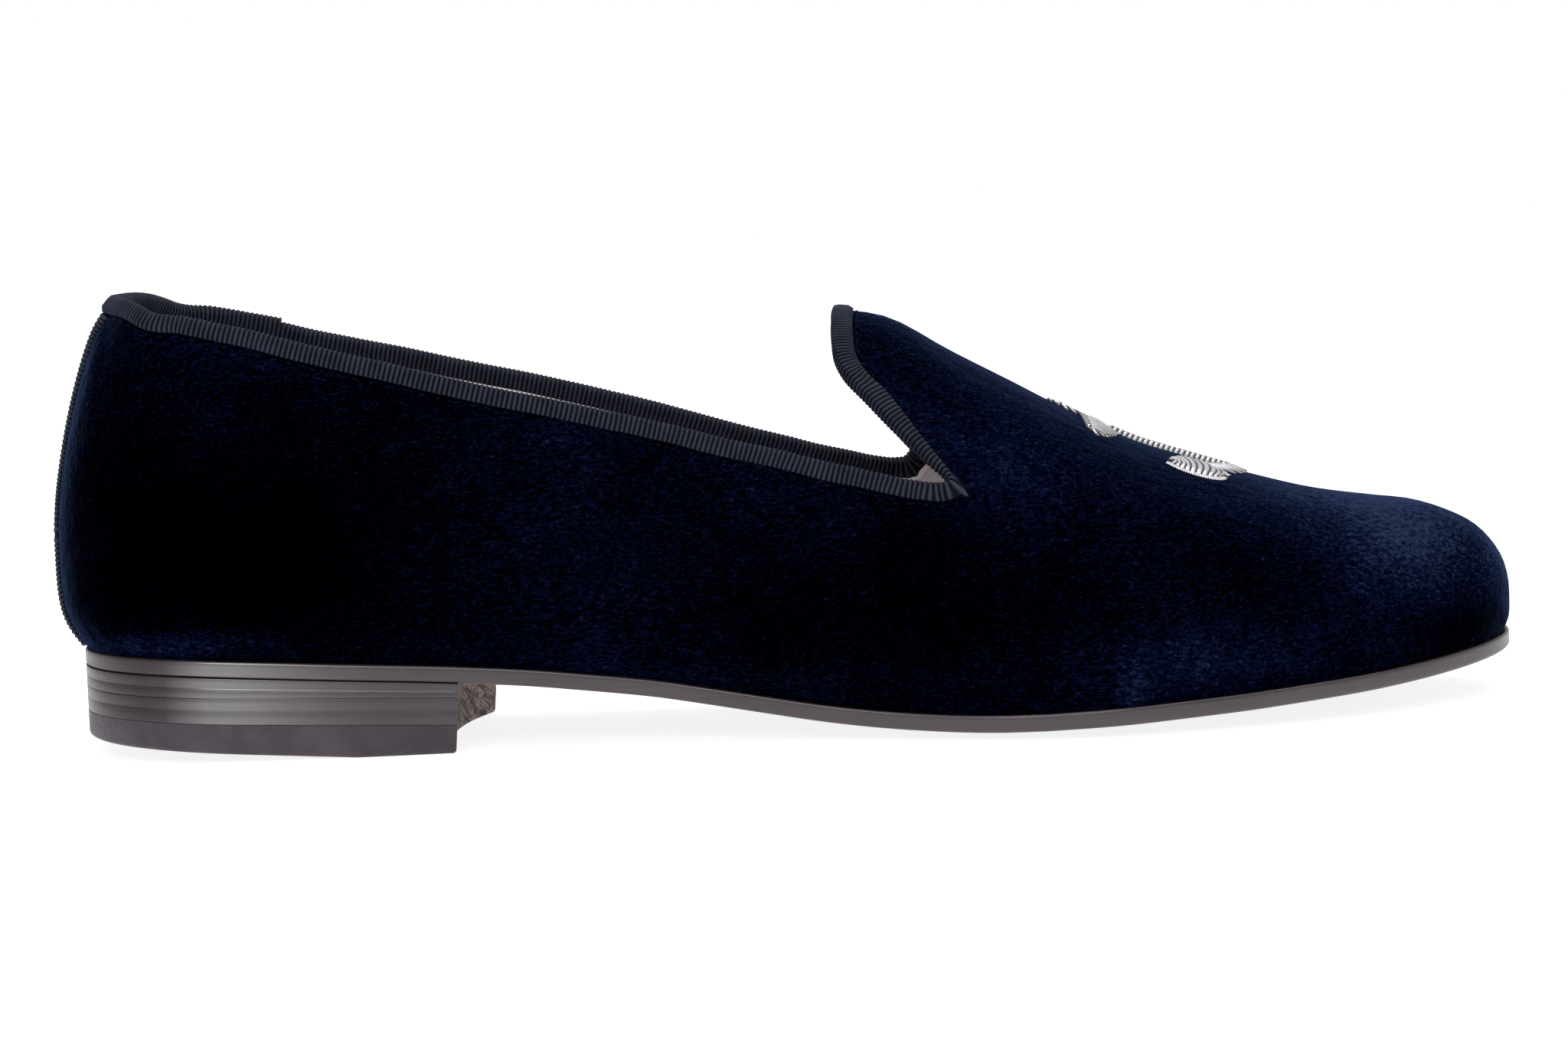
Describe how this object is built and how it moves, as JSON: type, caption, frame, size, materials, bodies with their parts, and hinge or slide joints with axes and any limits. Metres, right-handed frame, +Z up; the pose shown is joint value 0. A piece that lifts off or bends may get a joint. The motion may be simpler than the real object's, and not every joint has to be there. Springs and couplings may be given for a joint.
{
  "type": "velvet slipper loafer",
  "caption": "Right velvet slipper loafer with grosgrain-bound topline, low stacked heel, thin leather sole and hollow lasted upper.",
  "frame": {"origin": "centre of the bounding box, on the floor plane that heel and forefoot rest on", "axes": "+X from the heel to the toe, +Y towards the inner side of the foot, +Z up"},
  "size_m": [0.2848, 0.0978, 0.0882],
  "materials": {
    "velvet": "deep navy cotton velvet with a short dense pile",
    "ribbon": "ribbed slate navy grosgrain",
    "lining_leather": "smooth taupe calf lining",
    "sole_leather": "burnished espresso sole leather",
    "top_piece": "dark brown dense heel rubber"
  },
  "bodies": {
    "root": {"upper": "velvet", "topline_binding": "ribbon", "back_strip": "ribbon", "insole": "lining_leather", "outsole": "sole_leather", "heel_lift_upper": "sole_leather", "heel_lift_lower": "sole_leather", "heel_top_piece": "top_piece"}
  },
  "joints": []
}
